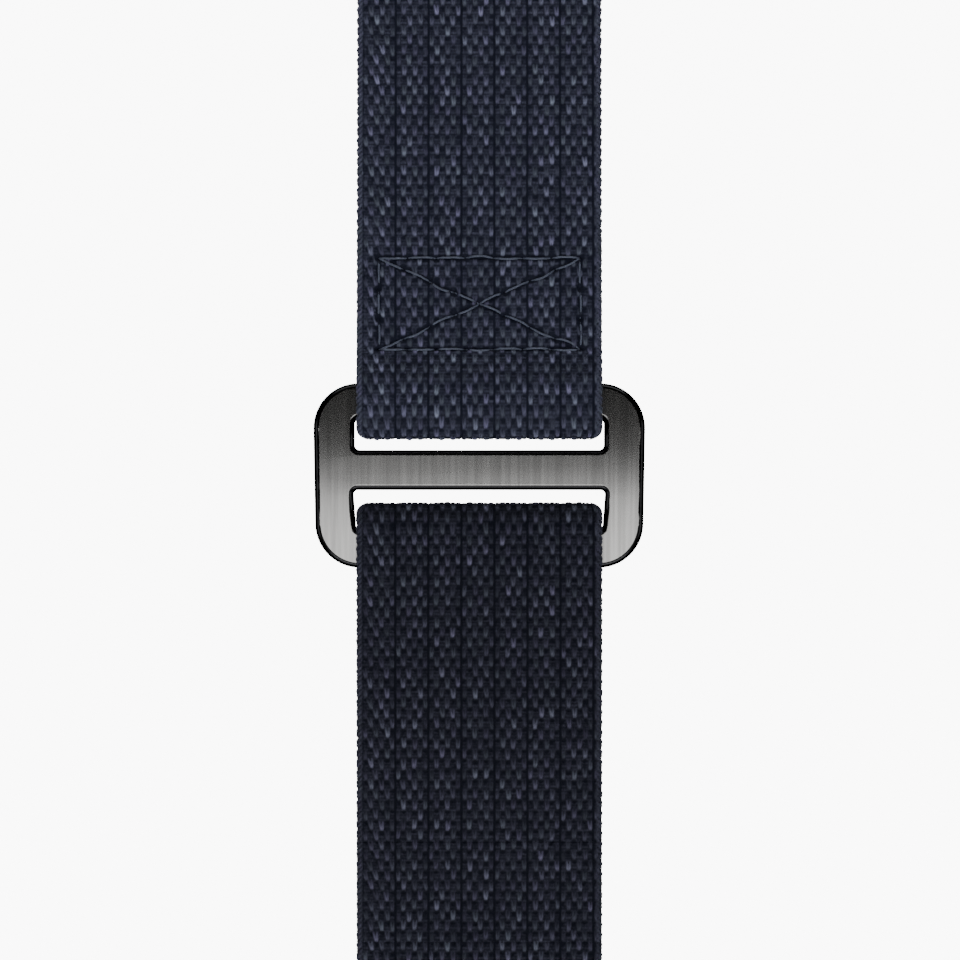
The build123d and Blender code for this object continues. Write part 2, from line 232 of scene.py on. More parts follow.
END_RADII = [1.0, 2.0, 1.0, 1.0, END_LOOP - LOOP_FIT, END_LOOP - LOOP_FIT]
upper = Route(
    rounded(
        [
            stack_point((STACK_END - bar_y) / math.cos(lean), -PLY_MIDDLE),
            stack_point(CLOSE_UP, -PLY_MIDDLE),
            stack_point(SHOULDER, -PLY_APART),
            stack_point(-FOLD_TURN, -PLY_APART),
            stack_point(-FOLD_TURN, PLY_APART),
            stack_point(SHOULDER, PLY_APART),
            stack_point(CLOSE_UP, PLY_MIDDLE),
            (UPPER_BENDS[1], WEB / 2),
            *end_corners(1),
        ],
        [2.0, 2.0, 1.9, 1.9, 2.0, 2.0, 3.0] + END_RADII,
    )
)
lower = Route(
    rounded(
        [
            (TAIL_END, TAIL_MIDDLE),
            (LOWER_BENDS[2], TAIL_MIDDLE),
            (SLOPE_START, FRONT_MIDDLE),
            (LOWER_FOLD_Y, FRONT_MIDDLE),
            (LOWER_FOLD_Y, WEB / 2),
            *end_corners(-1),
        ],
        [3.0, 3.0, 1.95, 1.95] + END_RADII,
    )
)
upper_turn = upper.find(bar_y)
upper_front = upper.find(bar_y, after=upper_turn + 2)
lower_back = lower.find(LOWER_FOLD_Y - 1, after=lower.find(LOWER_FOLD_Y - 1) + 3)


# ---------------------------------------------------------------- surfaces
def noise(a, b, seed):
    """A repeatable random number from 0 to 1 for a pair of whole numbers."""
    x = np.sin(a * 127.1 + b * 311.7 + seed * 74.7) * 43758.5453
    return x - np.floor(x)


def smooth_noise(u, s, seed):
    a, b = np.floor(u), np.floor(s)
    p, q = u - a, s - b
    p, q = p * p * (3 - 2 * p), q * q * (3 - 2 * q)
    low = noise(a, b, seed) * (1 - p) + noise(a + 1, b, seed) * p
    high = noise(a, b + 1, seed) * (1 - p) + noise(a + 1, b + 1, seed) * p
    return low * (1 - q) + high * q


def warp_float(x, t):
    """One warp float, x off its middle and t along it: two plies that meet in a rounded tip."""
    spread = 0.045 + 0.120 * np.clip((t + 0.46) / 0.8, 0, 1)
    ridge = np.sqrt(np.clip(1 - ((np.abs(x) - spread) / 0.165) ** 2, 0, 1))
    tip = np.sqrt(np.clip(1 - (np.minimum(t + 0.16, 0) / 0.34) ** 2 - (x / 0.40) ** 2, 0, 1))
    rise = np.clip((t + 0.20) / 0.80, 0, 1)
    return ridge * tip * (1 - 0.60 * rise) * np.clip((0.60 - t) / 0.16, 0, 1)


def weave(u, s, seed):
    """Height from 0 to 1, tone and hue of the woven face at u across and s along.

    Weft yarns lie underneath, a float of each warp end stands on every other pick, a groove runs
    between ribs, and twisted yarns edge each side.
    """
    column = np.floor((u - FIRST_GROOVE) / END)
    strand = np.abs(((s / STRAND) % 1) - 0.5) * 2
    fuzz = 0.5 * noise(np.floor(s / STRAND), column, seed)
    fuzz = fuzz + 0.5 * smooth_noise(u / 0.13, s / 0.17, seed)
    height = 0.14 + 0.34 * (1 - 0.7 * strand**2) * (0.25 + fuzz)
    tone = fuzz * 0.8
    hue = np.full(u.shape, 0.5)
    drift = np.clip((-u - 7.0) / 3.0, 0, 1) * 0.22
    drift = drift + 0.16 * (smooth_noise(u / 2.2, s / 3.1, seed) - 0.5)
    for side in (-1, 0, 1):
        c = column + side
        shifted = s + (c % 2) * PICK
        row = np.floor(shifted / (2 * PICK))
        t = shifted - (row + 0.5) * 2 * PICK + 0.22 * (noise(c, row, seed + 3) - 0.5)
        x = u - (FIRST_GROOVE + (c + 0.5) * END) + 0.10 * (noise(c, row, seed + 5) - 0.5)
        x = x + (drift + 0.16 * (noise(c, row, seed + 4) - 0.5)) * t
        beside = np.minimum(c % RIB, RIB - 1 - c % RIB)
        lift = np.where(beside == 0, 0.82, 1.0) * (0.76 + 0.24 * noise(c, row, seed))
        lifted = warp_float(x, t) * lift
        # A dip just below each float's tip: a hollow in the relief, and through the paint a painted
        # shadow under the tip.
        height = height * (1 - 0.75 * np.exp(-((x / 0.20) ** 2) - ((t + 0.68) / 0.17) ** 2))
        better = lifted > height
        height = np.where(better, lifted, height)
        tone = np.where(better, noise(c, row, seed + 1), tone)
        hue = np.where(better, noise(c, row, seed + 2), hue)
    from_groove = np.abs(((u - FIRST_GROOVE) / (RIB * END) + 0.5) % 1 - 0.5) * RIB
    height = height * (1 - 0.60 * np.clip(1 - (from_groove / 0.28) ** 2, 0, 1))
    inward = WIDTH / 2 - np.abs(u)
    beyond = np.clip((SELVEDGE - inward) / 0.15, 0, 1)
    twist = (s / (PICK / 2) - inward / 0.5 + 0.3 * noise(np.floor(s / 1.3), np.sign(u), seed)) % 1
    twill = 0.15 + 0.60 * np.sqrt(np.clip(1 - (2 * twist - 1) ** 2, 0, 1))
    height = height * (1 - beyond) + twill * beyond
    strand = np.floor(s / (PICK / 2) - inward / 0.5)
    tone = np.where(beyond > 0.5, 0.7 * noise(strand, np.sign(u), seed + 7), tone)
    return height, tone, hue


def pile(u, s, seed):
    """The curled loops of hook-and-loop tape."""
    ridged = 1 - np.abs(2 * smooth_noise(u / 0.33, s / 0.33, seed) - 1)
    finer = 1 - np.abs(2 * smooth_noise(u / 0.17, s / 0.17, seed + 1) - 1)
    return 0.25 + 0.5 * ridged**2 + 0.25 * finer, smooth_noise(u / 0.5, s / 0.5, seed + 2), ridged


def plain_weave(u, s, seed):
    """The tight ground cloth that tape hooks stand on."""
    over = np.sin(2 * math.pi * u / 0.6) * np.sin(2 * math.pi * s / 0.6)
    return 0.5 + 0.5 * over, noise(np.floor(u / 0.3), np.floor(s / 0.3), seed), over * 0


def dimples(u, s, marks):
    """How deep a face is pressed in by stitches: marks are runs from hole to hole."""
    depth = np.zeros(u.shape)
    for (u0, s0), (u1, s1) in marks:
        rows = np.nonzero((s[:, 0] > min(s0, s1) - 1) & (s[:, 0] < max(s0, s1) + 1))[0]
        if len(rows) == 0:
            continue
        part = slice(rows[0], rows[-1] + 1)
        uu, ss = u[part] - u0, s[part] - s0
        du, ds = u1 - u0, s1 - s0
        t = np.clip((uu * du + ss * ds) / (du**2 + ds**2), 0, 1)
        channel = 0.35 * np.exp(-((np.hypot(uu - t * du, ss - t * ds) / 0.20) ** 2))
        holes = np.exp(-((np.hypot(uu, ss) / 0.26) ** 2))
        holes += np.exp(-((np.hypot(uu - du, ss - ds) / 0.26) ** 2))
        depth[part] = np.maximum(depth[part], channel + 0.9 * holes)
    return depth


# ---------------------------------------------------------------- meshes
def make_mesh(name, vertices, quads, caps, cloth=None, paint=None):
    """A closed mesh from millimetre vertices, its quads facing outwards, with flat caps."""
    corners = vertices[quads]
    across = np.cross(corners[:, 2] - corners[:, 0], corners[:, 3] - corners[:, 1])
    if (across * corners.mean(1)).sum() < 0:
        quads = quads[:, ::-1]
        caps = caps[:, ::-1]
    loops = np.concatenate([quads.ravel(), caps.ravel()]).astype(np.int32)
    sizes = np.r_[np.full(len(quads), 4), np.full(len(caps), caps.shape[1])]
    mesh = bpy.data.meshes.new(name)
    mesh.vertices.add(len(vertices))
    mesh.vertices.foreach_set("co", (vertices * MM).astype(np.float32).ravel())
    mesh.loops.add(len(loops))
    mesh.loops.foreach_set("vertex_index", loops)
    mesh.polygons.add(len(sizes))
    mesh.polygons.foreach_set("loop_start", (np.cumsum(sizes) - sizes).astype(np.int32))
    mesh.polygons.foreach_set("use_smooth", sizes == 4)
    mesh.update(calc_edges=True)
    mesh.validate()
    if cloth is not None:
        layer = mesh.uv_layers.new(name="cloth")
        layer.data.foreach_set("uv", cloth[loops].astype(np.float32).ravel())
    if paint is not None:
        colours = mesh.color_attributes.new("weave", "FLOAT_COLOR", "POINT")
        colours.data.foreach_set("color", paint.astype(np.float32).ravel())
    obj = bpy.data.objects.new(name, mesh)
    bpy.context.scene.collection.objects.link(obj)
    return obj


def tube_faces(rows, around, first=0):
    """Quads and two caps of a closed tube whose points are numbered row by row."""
    r, c = np.meshgrid(np.arange(rows - 1), np.arange(around), indexing="ij")
    ahead = (c + 1) % around
    here, beyond = r * around, (r + 1) * around
    quads = np.stack([here + c, here + ahead, beyond + ahead, beyond + c], -1)
    ring = np.arange(around)
    caps = np.stack([ring[::-1], (rows - 1) * around + ring])
    return first + quads.reshape(-1, 4), first + caps


def cross_section(columns, back_columns, width, thickness, edge):
    """Points round a ribbon's section: x, out from its middle, and the way out."""
    flat = width / 2 - edge
    deep = thickness / 2 - edge
    turn = np.linspace(0, math.pi / 2, 6)
    rise, run = np.sin(turn), np.cos(turn)
    front = np.linspace(flat, -flat, int(columns * 2 * flat / END))
    back = np.linspace(-flat, flat, int(back_columns * 2 * flat / END))[1:-1]
    right = [(flat + edge * k, deep + edge * j, k, j) for k, j in zip(run, rise)]
    left = [(-flat - edge * k, deep + edge * j, -k, j) for k, j in zip(rise, run)]
    under_left = [(-flat - edge * k, -deep - edge * j, -k, -j) for k, j in zip(run, rise)]
    under_right = [(flat + edge * k, -deep - edge * j, k, -j) for k, j in zip(rise, run)]
    faces = [(x, thickness / 2, 0, 1) for x in front[1:-1]]
    backs = [(x, -thickness / 2, 0, -1) for x in back]
    return np.array(right + faces + left + under_left + backs + under_right, float)


def narrowed(x, y, corner):
    """x drawn in where the webbing's corners are rounded towards a place along the band."""
    place, soft, radius = corner
    inside = np.clip(np.abs(y - place), 0, radius)
    half = WIDTH / 2 - radius + np.sqrt(np.maximum(radius**2 - (radius - inside) ** 2, 0))
    base = WIDTH / 2 - soft
    drawn = base + (np.abs(x) - base) * (half - base) / soft
    return np.where(np.abs(x) > base, np.sign(x) * drawn, x)


def ribbon(
    name,
    route,
    start,
    end,
    detail,
    seed,
    face=weave,
    size=(WIDTH, WEB, EDGE),
    relief=RELIEF,
    corner=None,
    marks=(),
):
    """Webbing or tape along part of a route, as a closed mesh with real relief on both faces."""
    section = cross_section(detail[0], detail[2], *size)
    rows = max(3, int(round((end - start) / PICK * detail[1])) + 1)
    lengths = np.linspace(start, end, rows)
    centre, normal = route.place(lengths), route.normal(lengths)
    u, s = np.meshgrid(section[:, 0], lengths)
    front = section[:, 3] > -0.1
    height, tone, hue = face(np.where(front, u, -u), np.where(front, s, s + PICK), seed)
    height = height - dimples(u, s, marks) * (section[:, 3] > 0.5)
    scallop = 0.05 * np.cos(2 * math.pi * s / PICK) * (np.abs(section[:, 2]) > 0.7)
    push = relief * (height - SURFACE) + scallop
    x = u + push * section[:, 2]
    out = section[:, 1] + push * section[:, 3]
    y, z = (centre[:, k : k + 1] + normal[:, k : k + 1] * out for k in (0, 1))
    if corner:
        x = narrowed(x, y, corner)
    points = np.stack([x, y, z], -1)
    cloth = np.stack([u, s], -1) / 10
    # The first channel is the face's height, which the material turns into painted shade in the
    # gaps, grooves and stitch holes.
    paint = np.stack([np.clip(height, 0, 1), tone, hue, np.ones(u.shape)], -1)
    quads, caps = tube_faces(rows, section.shape[0])
    flat = [a.reshape(-1, a.shape[-1]) for a in (points, cloth, paint)]
    return make_mesh(name, flat[0], quads, caps, flat[1], flat[2])


def strings(name, lines, radius, around=10, lobes=0.16, upright=(0.03, 0.02, 1.0)):
    """Twisted strings along lines of millimetre points, as one mesh of closed tubes."""
    points, quads, caps = [], [], []
    first = 0
    for line in lines:
        line = np.array(line)
        ahead = np.gradient(line, axis=0)
        ahead /= np.linalg.norm(ahead, axis=1, keepdims=True)
        side = np.cross(ahead, upright)
        side /= np.linalg.norm(side, axis=1, keepdims=True)
        up = np.cross(side, ahead)
        length = np.r_[0, np.cumsum(np.linalg.norm(np.diff(line, axis=0), axis=1))]
        angle = np.linspace(0, 2 * math.pi, around, endpoint=False)[None, :]
        thick = radius * (1 - lobes * np.abs(np.sin(1.5 * angle + length[:, None] * 2.6)))
        ring = side[:, None] * np.cos(angle)[..., None] + up[:, None] * np.sin(angle)[..., None]
        points.append((line[:, None] + thick[..., None] * ring).reshape(-1, 3))
        some_quads, some_caps = tube_faces(len(line), around, first)
        quads.append(some_quads)
        caps.append(some_caps)
        first += len(line) * around
    return make_mesh(name, np.concatenate(points), np.concatenate(quads), np.concatenate(caps))


# ---------------------------------------------------------------- materials
class Shader:
    """A procedural material and short ways to add its nodes."""

    def __init__(self, name):
        self.material = bpy.data.materials.new(name)
        self.material.use_nodes = True
        tree = self.material.node_tree
        self.nodes, self.links = tree.nodes, tree.links
        self.surface = tree.nodes["Principled BSDF"]

    def set(self, **values):
        for key, value in values.items():
            socket = self.surface.inputs[key.replace("_", " ")]
            socket.default_value = (*value, 1) if isinstance(value, tuple) else value

    def plug(self, value, socket):
        if isinstance(value, (int, float)):
            socket.default_value = value
        elif isinstance(value, tuple):
            socket.default_value = (*value, 1)
        else:
            self.links.new(value, socket)

    def mix(self, kind, factor, a, b):
        node = self.nodes.new("ShaderNodeMix")
        node.data_type = "RGBA"
        node.blend_type = kind
        for index, value in ((0, factor), (6, a), (7, b)):
            self.plug(value, node.inputs[index])
        return node.outputs[2]

    def ramp(self, value, *stops):
        node = self.nodes.new("ShaderNodeValToRGB")
        elements = node.color_ramp.elements
        while len(elements) < len(stops):
            elements.new(0.5)
        for element, (place, level) in zip(elements, stops):
            element.position = place
            element.color = (level, level, level, 1)
        self.links.new(value, node.inputs[0])
        return node.outputs[0]

    def grain(self, scale, detail=2.0, cloth=False):
        """Noise stretched by scale, in cells for each metre, or each centimetre of cloth."""
        source = self.nodes.new("ShaderNodeUVMap" if cloth else "ShaderNodeTexCoord")
        if cloth:
            source.uv_map = "cloth"
        mapping = self.nodes.new("ShaderNodeMapping")
        mapping.inputs["Scale"].default_value = scale
        self.links.new(source.outputs["UV" if cloth else "Object"], mapping.inputs[0])
        node = self.nodes.new("ShaderNodeTexNoise")
        node.inputs["Scale"].default_value = 1.0
        node.inputs["Detail"].default_value = detail
        self.links.new(mapping.outputs[0], node.inputs["Vector"])
        return node.outputs["Fac"]

    def bump(self, height, distance, strength=0.5):
        node = self.nodes.new("ShaderNodeBump")
        node.inputs["Strength"].default_value = strength
        node.inputs["Distance"].default_value = distance
        self.links.new(height, node.inputs["Height"])
        self.links.new(node.outputs[0], self.surface.inputs["Normal"])


def cloth_material(name, deep, slate, violet, rough=0.62):
    """Yarn whose colour comes from each float's own tone and hue, with painted shade: low places
    fade to the deep colour by their height.
    """
    shader = Shader(name)
    paint = shader.nodes.new("ShaderNodeAttribute")
    paint.attribute_name = "weave"
    parts = shader.nodes.new("ShaderNodeSeparateColor")
    shader.links.new(paint.outputs["Color"], parts.inputs[0])
    height, tone, hue = parts.outputs
    yarn = shader.mix("MIX", hue, slate, violet)
    yarn = shader.mix("MULTIPLY", 1.0, yarn, shader.ramp(tone, (0.0, 0.6), (0.7, 0.95), (1.0, 1.6)))
    fibre = shader.grain((160, 25, 1), cloth=True)
    yarn = shader.mix("MULTIPLY", 1.0, yarn, shader.ramp(fibre, (0.3, 0.7), (0.7, 1.3)))
    # Painted shade: the lower a place lies in the weave, the more it takes the deep colour.
    level = shader.ramp(height, (0.20, 0.0), (0.62, 0.46), (0.93, 1.0))
    shader.plug(shader.mix("MIX", level, deep, yarn), shader.surface.inputs["Base Color"])
    shader.set(Roughness=rough, Specular_IOR_Level=0.06, Sheen_Weight=0.02, Sheen_Roughness=0.4)
    shader.bump(fibre, 0.00004)
    return shader.material


def grained_material(name, colour, rough, scale, spread, metal=0.0, depth=0.00001):
    """A material whose colour and surface vary with a fine stretched grain."""
    shader = Shader(name)
    grain = shader.grain(scale)
    shades = shader.ramp(grain, (0.25, 1 - spread), (0.75, 1 + spread))
    shader.plug(shader.mix("MULTIPLY", 1.0, colour, shades), shader.surface.inputs["Base Color"])
    shader.set(Roughness=rough, Metallic=metal, Specular_IOR_Level=0.4)
    shader.bump(grain, depth)
    return shader.material


def brushed_material():
    """Brushed gunmetal whose rounded edges are polished, with a near-black colour painted on them
    as their dark reflection.
    """
    shader = Shader("brushed_gunmetal_painted_edge_reflection")
    streaks = shader.grain((4000, 110, 110), detail=0.0)
    wide = shader.grain((1500, 60, 60))
    brushed = shader.ramp(streaks, (0.3, 0.88), (0.7, 1.12))
    brushed = shader.mix("MULTIPLY", 1.0, brushed, shader.ramp(wide, (0.3, 0.95), (0.7, 1.05)))
    face = shader.mix("MULTIPLY", 1.0, (0.50, 0.495, 0.485), brushed)
    place = shader.nodes.new("ShaderNodeTexCoord")
    axes = shader.nodes.new("ShaderNodeSeparateXYZ")
    shader.links.new(place.outputs["Normal"], axes.inputs[0])
    upright = shader.nodes.new("ShaderNodeMath")
    upright.operation = "ABSOLUTE"
    shader.links.new(axes.outputs[2], upright.inputs[0])
    # Painted reflection: where the normal leans off upright, the rounded edges take a near-black
    # colour.
    flat = shader.ramp(upright.outputs[0], (0.984, 0.0), (0.991, 1.0))
    colour = shader.mix("MIX", flat, (0.014, 0.014, 0.015), face)
    shader.plug(colour, shader.surface.inputs["Base Color"])
    shader.plug(shader.ramp(flat, (0.0, 0.16), (1.0, 0.215)), shader.surface.inputs["Roughness"])
    shader.set(Metallic=1.0)
    shader.bump(wide, 0.000001, 0.15)
    return shader.material


# One webbing in two copies: the lower strap's copy is darker throughout, its gap colour too, as
# painted shade for the less lit lower half.
UPPER_CLOTH = cloth_material(
    "webbing_upper", (0.0060, 0.0074, 0.0155), (0.112, 0.128, 0.170), (0.121, 0.118, 0.200)
)
LOWER_CLOTH_PAINTED_SHADE = cloth_material(
    "webbing_lower", (0.0028, 0.0036, 0.0078), (0.064, 0.071, 0.094), (0.070, 0.066, 0.108)
)
LOOP_TAPE = cloth_material(
    "loop_tape", (0.004, 0.005, 0.008), (0.02, 0.024, 0.04), (0.02, 0.022, 0.04), 0.9
)
HOOK_TAPE = cloth_material(
    "hook_tape", (0.006, 0.007, 0.01), (0.03, 0.034, 0.05), (0.03, 0.034, 0.05), 0.5
)
HOOKS = grained_material("hooks", (0.03, 0.034, 0.05), 0.35, (6000, 6000, 6000), 0.2)
THREAD = grained_material(
    "thread", (0.058, 0.070, 0.105), 0.6, (9000, 9000, 9000), 0.35, depth=0.00002
)
STEEL = grained_material(
    "turned_steel", (0.60, 0.60, 0.59), 0.26, (7000, 400, 400), 0.10, 1.0, 0.000002
)
SPRING = grained_material(
    "spring_steel", (0.42, 0.42, 0.43), 0.32, (3000, 3000, 3000), 0.15, 1.0, 0.000002
)
GUNMETAL = brushed_material()


def finish(obj, material, replaced=(), body=None, bend=None):
    """Paint a piece, hide the imported parts it stands in for, and let it ride on a body; a piece
    for a bend between two bodies is only fixed in place.
    """
    obj.data.materials.clear()
    obj.data.materials.append(material)
    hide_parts(*replaced)
    if bend:
        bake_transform(obj)
    else:
        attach(obj, body)


# ---------------------------------------------------------------- seams
def run(start, end):
    """Stitches from one place on a face to another, as pairs of holes."""
    start, end = np.array(start, float), np.array(end, float)
    count = max(1, round(np.linalg.norm(end - start) / STITCH))
    holes = [tuple(start + (end - start) * i / count) for i in range(count + 1)]
    return list(zip(holes, holes[1:]))


def sewn_box(half, s0, s1, crossed=False):
    """The stitches of a sewn rectangle between two lengths along a route."""
    a, b, c, d = (-half, s0), (half, s0), (half, s1), (-half, s1)
    lines = [(a, b), (d, c), (a, d), (b, c)]
    if crossed:
        lines += [(a, c), (d, b)]
    return [stitch for start, end in lines for stitch in run(start, end)]


def stitch_lines(route, stitches, level=WEB / 2):
    """Thread on a route's outer face, dipping into a hole at each end of a stitch."""
    lines = []
    t = np.linspace(0, 1, 20)
    for (u0, s0), (u1, s1) in stitches:
        length = math.hypot(u1 - u0, s1 - s0)
        slack = 0.5 * (float(noise(u0, s0, 9)) - 0.5) * np.sin(math.pi * t) / length
        u, s = u0 + (u1 - u0) * t - (s1 - s0) * slack, s0 + (s1 - s0) * t + (u1 - u0) * slack
        from_hole = np.minimum(t, 1 - t) * length
        sunk = 0.06 if u0 != u1 else 0.14
        out = level - sunk - 0.48 * (1 - np.clip(from_hole / 0.7, 0, 1) ** 0.7)
        place, normal = route.place(s), route.normal(s)
        side_view = place + normal * out[:, None]
        lines.append(np.stack([u, side_view[:, 0], side_view[:, 1]], -1))
    return lines


box_half = WIDTH / 2 - BOX_MARGIN
front_rows = (upper.find(y, after=upper_front) for y in BOX_ROWS)
front_box = sewn_box(box_half, *front_rows, crossed=True)
under_box = sewn_box(box_half, *(upper.find(y) for y in BOX_ROWS), crossed=True)


def end_seams(route, side):
    """The seam that closes an end loop, on its upper face and on its under face."""
    ys = [side * (PIN_Y - d) for d in (END_CLOSE + END_ROW, END_FOLD - END_ROW)]
    ways = []
    for start in (route.length - END_RUN, route.length - END_FOLD - 0.2):
        ways.append(sewn_box(WIDTH / 2 - END_MARGIN, *(route.find(y, after=start) for y in ys)))
    return ways


# ---------------------------------------------------------------- upper strap
def upper_webbing():
    between = [(a + b) / 2 for a, b in zip(UPPER_BENDS, UPPER_BENDS[1:])]
    cuts = [FRONT_CUT, *between, UPPER_LAST_CUT]
    cut_s = [upper.find(y, after=upper_front) for y in cuts]
    bodies = ["upper_fold", "upper_stretch_1", "upper_stretch_2", "upper_stretch_3", "upper_end"]
    under = ribbon(
        "upper_webbing_under", upper, 0, upper_turn, MEDIUM, UPPER_SEED, marks=under_box
    )
    finish(under, UPPER_CLOTH, ["upper_fold_under"], "upper_fold")
    corner = (UPPER_EDGE, *FOLD_CORNER)
    wrap = ribbon(
        "upper_webbing_wrap", upper, upper_turn, cut_s[0], FINE, UPPER_SEED, corner=corner
    )
    finish(wrap, UPPER_CLOTH, ["upper_fold_wrap"], "upper_fold")
    replaced = ["upper_fold_front", "upper_strap_1", "upper_strap_2", "upper_strap_3"]
    for i, node in enumerate(replaced):
        detail = FINE if i < 2 else MEDIUM
        ends = cut_s[i : i + 2]
        piece = ribbon(f"upper_webbing_{i}", upper, *ends, detail, UPPER_SEED, marks=front_box)
        bend = (bodies[i], bodies[i + 1], UPPER_BENDS[i], BEND_ZONE)
        finish(piece, UPPER_CLOTH, [node], bend=bend)
    over, below = end_seams(upper, 1)
    marks = over + below
    end = ribbon(
        "upper_webbing_end", upper, cut_s[4], upper.length, MEDIUM, UPPER_SEED, marks=marks
    )
    nodes = ["upper_end_wrap", "upper_end_front", "upper_end_under"]
    finish(end, UPPER_CLOTH, nodes, "upper_end")
    box = strings("crossed_box_thread", stitch_lines(upper, front_box + under_box), THREAD_RADIUS)
    finish(box, THREAD, ["upper_box_stitch"], "upper_fold")
    seam = strings("upper_end_thread", stitch_lines(upper, marks), THREAD_RADIUS)
    finish(seam, THREAD, ["upper_end_stitch"], "upper_end")


# ---------------------------------------------------------------- lower strap
LOWER_BODIES = ["lower_fold", "lower_stretch_1", "lower_stretch_2", "lower_stretch_3", "lower_end"]


def lower_bend(i):
    """The bend between the i-th body of the lower strap and the next, from its far side."""
    return (LOWER_BODIES[i + 1], LOWER_BODIES[i], LOWER_BENDS[i], BEND_ZONE)


hook_low, hook_high = box_mm("hook_patch")
hook_route = Route([(hook_low[1], TAIL_MIDDLE), (hook_high[1], TAIL_MIDDLE)])
PEEL = ("tail", "lower_stretch_3", TAIL_HINGE, PEEL_ZONE)


def tail_webbing():
    cut_s = [0.0] + [lower.find(y) for y in (TAIL_CUT, *LOWER_CUTS[2::-1])]
    rows = (lower.find(y) for y in (hook_low[1] + TAPE_MARGIN, hook_high[1] - TAPE_MARGIN))
    seam = sewn_box(HOOK_SEAM_HALF, *rows)
    corner = (TAIL_END, *TIP_CORNER)
    tip = ribbon(
        "tail_webbing_tip", lower, 0, cut_s[1], FINE, LOWER_SEED, corner=corner, marks=seam
    )
    finish(tip, LOWER_CLOTH_PAINTED_SHADE, ["tail_tip"], bend=PEEL)
    for i in (3, 2, 1):
        piece = ribbon(f"tail_webbing_{i}", lower, *cut_s[4 - i : 6 - i], FINE, LOWER_SEED)
        finish(piece, LOWER_CLOTH_PAINTED_SHADE, [f"tail_strap_{i}"], bend=lower_bend(i - 1))
    thread = strings("hook_tape_thread", stitch_lines(lower, seam), THREAD_RADIUS)
    finish(thread, THREAD, ["hook_patch_stitch"], bend=PEEL)


def lower_webbing():
    cut_s = [lower.find(y, after=lower_back) for y in LOWER_CUTS]
    start, corner = lower.find(LOWER_CUTS[0]), (LOWER_EDGE, *FOLD_CORNER)
    fold = ribbon("lower_webbing_fold", lower, start, cut_s[0], FINE, LOWER_SEED, corner=corner)
    finish(fold, LOWER_CLOTH_PAINTED_SHADE, ["lower_strap_fold"], "lower_fold")
    replaced = ["lower_strap_1", "lower_strap_2", "lower_strap_3", "lower_end_front"]
    for i, node in enumerate(replaced):
        detail = MEDIUM if i == 3 else HIDDEN
        piece = ribbon(f"lower_webbing_{i}", lower, *cut_s[i : i + 2], detail, LOWER_SEED)
        finish(piece, LOWER_CLOTH_PAINTED_SHADE, [node], bend=lower_bend(i))
    over, below = end_seams(lower, -1)
    marks = over + below
    end = ribbon(
        "lower_webbing_end", lower, cut_s[4], lower.length, MEDIUM, LOWER_SEED, marks=marks
    )
    finish(end, LOWER_CLOTH_PAINTED_SHADE, ["lower_end_wrap", "lower_end_under"], "lower_end")
    seam = strings("lower_end_thread", stitch_lines(lower, marks), THREAD_RADIUS)
    finish(seam, THREAD, ["lower_end_stitch"], "lower_end")


# ---------------------------------------------------------------- hook-and-loop tapes
def loop_tape():
    low, high = box_mm("loop_patch_3")[0], box_mm("loop_patch_1")[1]
    middle = (low[2] + high[2]) / 2
    route = Route([(low[1], middle), (high[1], middle)])
    size = (float(high[0] * 2), float(high[2] - low[2]), LOOP_EDGE)
    half = size[0] / 2 - TAPE_MARGIN
    far, near = low[1] + TAPE_MARGIN, high[1] - TAPE_MARGIN
    top = sewn_box(half, far - low[1], near - low[1])
    back = sewn_box(half, *(lower.find(y, after=lower_back) for y in (near, far)))
    threads = stitch_lines(route, top, size[1] / 2) + stitch_lines(lower, back)
    cuts = [float(high[1]), *LOWER_CUTS[1:4], float(low[1])]
    for i, (near_y, far_y) in enumerate(zip(cuts, cuts[1:])):
        node = str(min(i + 1, 3))
        ends = (far_y - low[1], near_y - low[1])
        look = (LOOP_SEED, pile, size, LOOP_RELIEF)
        piece = ribbon(f"loop_tape_{i}", route, *ends, (3, 8, 1), *look, marks=top)
        finish(piece, LOOP_TAPE, ["loop_patch_" + node], bend=lower_bend(i))
        mine = [line for line in threads if far_y <= line[:, 1].mean() < near_y]
        thread = strings(f"loop_tape_thread_{i}", mine, THREAD_RADIUS)
        finish(thread, THREAD, ["loop_patch_stitch_" + node], bend=lower_bend(i))


def hook(x, y, top, way):
    """One tape hook: a short post that curls back on itself."""
    turn = np.linspace(0, 1.25 * math.pi, 9)
    curl_y, curl_z = 0.09 * (1 - np.cos(turn)) * way, 0.08 * np.sin(turn)
    post = [(x, y, top + 0.06), (x, y, top - 0.06)]
    return np.array(post + [(x, y + a, top - 0.08 - b) for a, b in zip(curl_y, curl_z)])


def hook_tape():
    top = float(hook_high[2])
    middle = top - HOOK_BASE / 2
    route = Route([(hook_low[1], middle), (hook_high[1], middle)])
    size = (float(hook_high[0] * 2), HOOK_BASE, HOOK_EDGE)
    length = hook_high[1] - hook_low[1]
    look = (HOOK_SEED, plain_weave, size, HOOK_RELIEF)
    tape = ribbon("hook_tape", route, 0, length, (3, 6, 3), *look)
    finish(tape, HOOK_TAPE, ["hook_patch"], bend=PEEL)
    columns = np.arange(-size[0] / 2 + HOOK_MARGIN, size[0] / 2 - 0.5, HOOK_STEP[0])
    rows = np.arange(hook_low[1] + HOOK_MARGIN, hook_high[1] - 0.5, HOOK_STEP[1])
    hooks = [
        hook(x + 0.2 * (j % 2), y, top - HOOK_BASE, 1 if i % 2 else -1)
        for i, x in enumerate(columns)
        for j, y in enumerate(rows)
    ]
    wires = strings("tape_hooks", hooks, HOOK_WIRE, 6, 0.0)
    finish(wires, HOOKS, ["hook_patch"], bend=PEEL)


